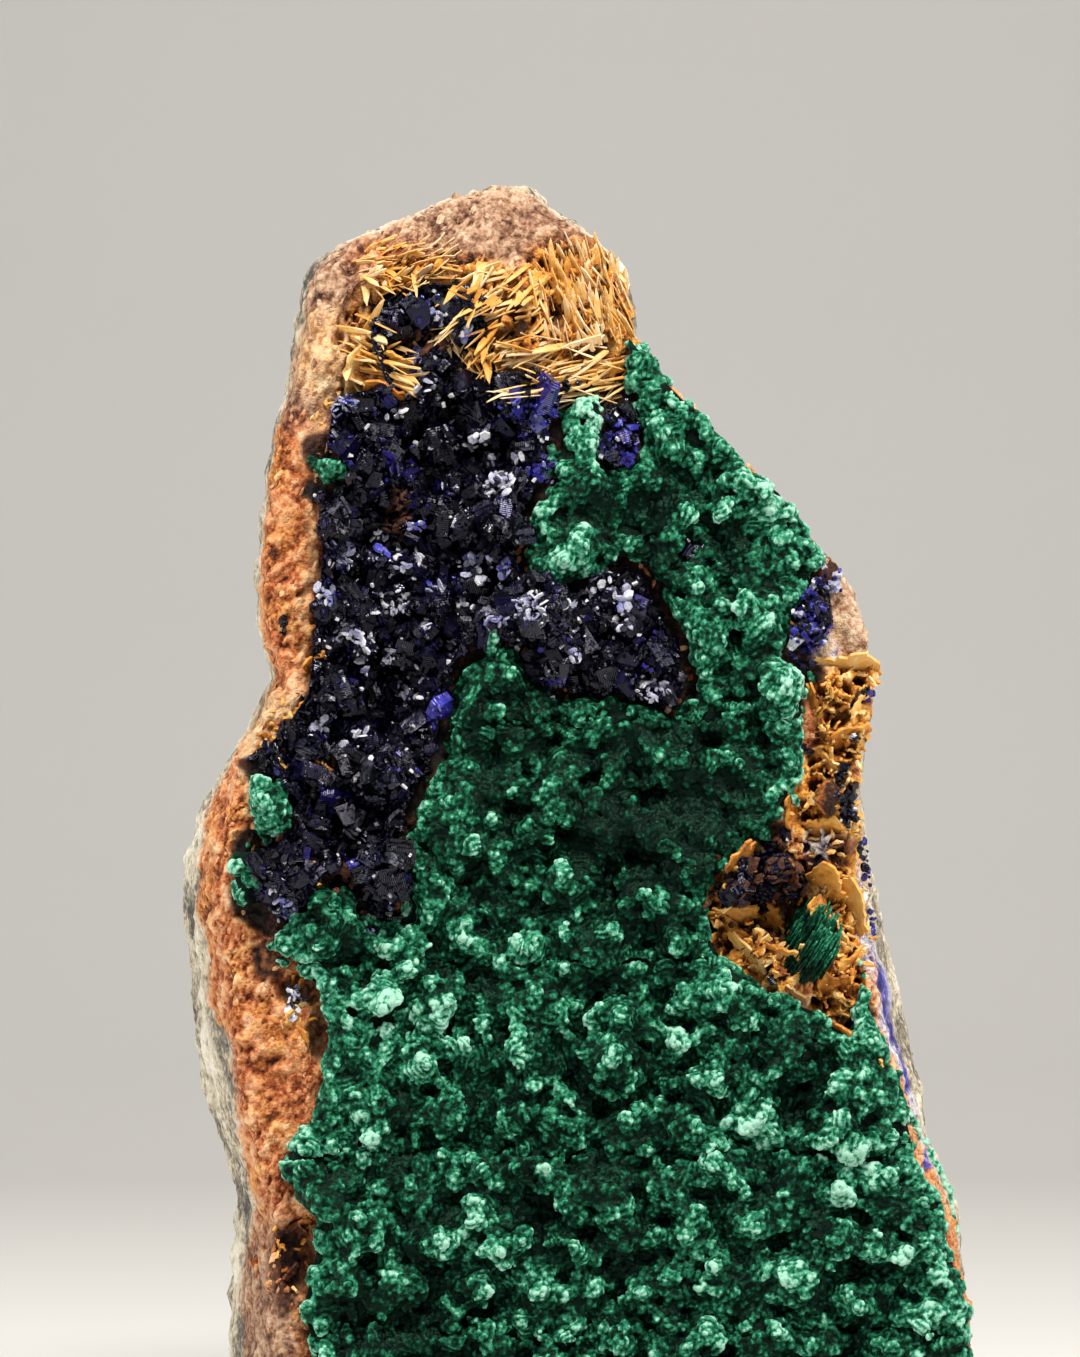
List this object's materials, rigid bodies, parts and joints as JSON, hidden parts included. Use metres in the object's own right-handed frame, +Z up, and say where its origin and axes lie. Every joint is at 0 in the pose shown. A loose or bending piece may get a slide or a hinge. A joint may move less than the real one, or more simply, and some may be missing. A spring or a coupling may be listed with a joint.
{
  "type": "azurite specimen",
  "caption": "Upright slab of iron-stained rock with a vug of blocky azurite crystals and a lumpy malachite crust, standing on a flat cut base.",
  "frame": {"origin": "on the flat cut base, at the middle of the slab's width and thickness as the rock stands", "axes": "+Z up from the base to the knob at the top, -Y out of the mineral-covered front, +X to the right as seen from the front"},
  "size_m": [0.1224, 0.0692, 0.202],
  "materials": {
    "limonite": "iron-stained limonite and pale weathered rock, dull and porous",
    "azurite": "deep blue azurite crystals with glassy faces, nearly black in the mass",
    "malachite": "green malachite in finely ridged lumps with a silky sheen"
  },
  "bodies": {
    "root": {"limonite_rock": "limonite", "azurite_crystals": "azurite", "azurite_rosette": "azurite", "azurite_edge_patch": "azurite", "azurite_pocket_patch": "azurite", "malachite_crust": "malachite", "malachite_tuft_upper": "malachite", "malachite_tuft_middle": "malachite", "malachite_tuft_lower": "malachite"}
  },
  "joints": []
}
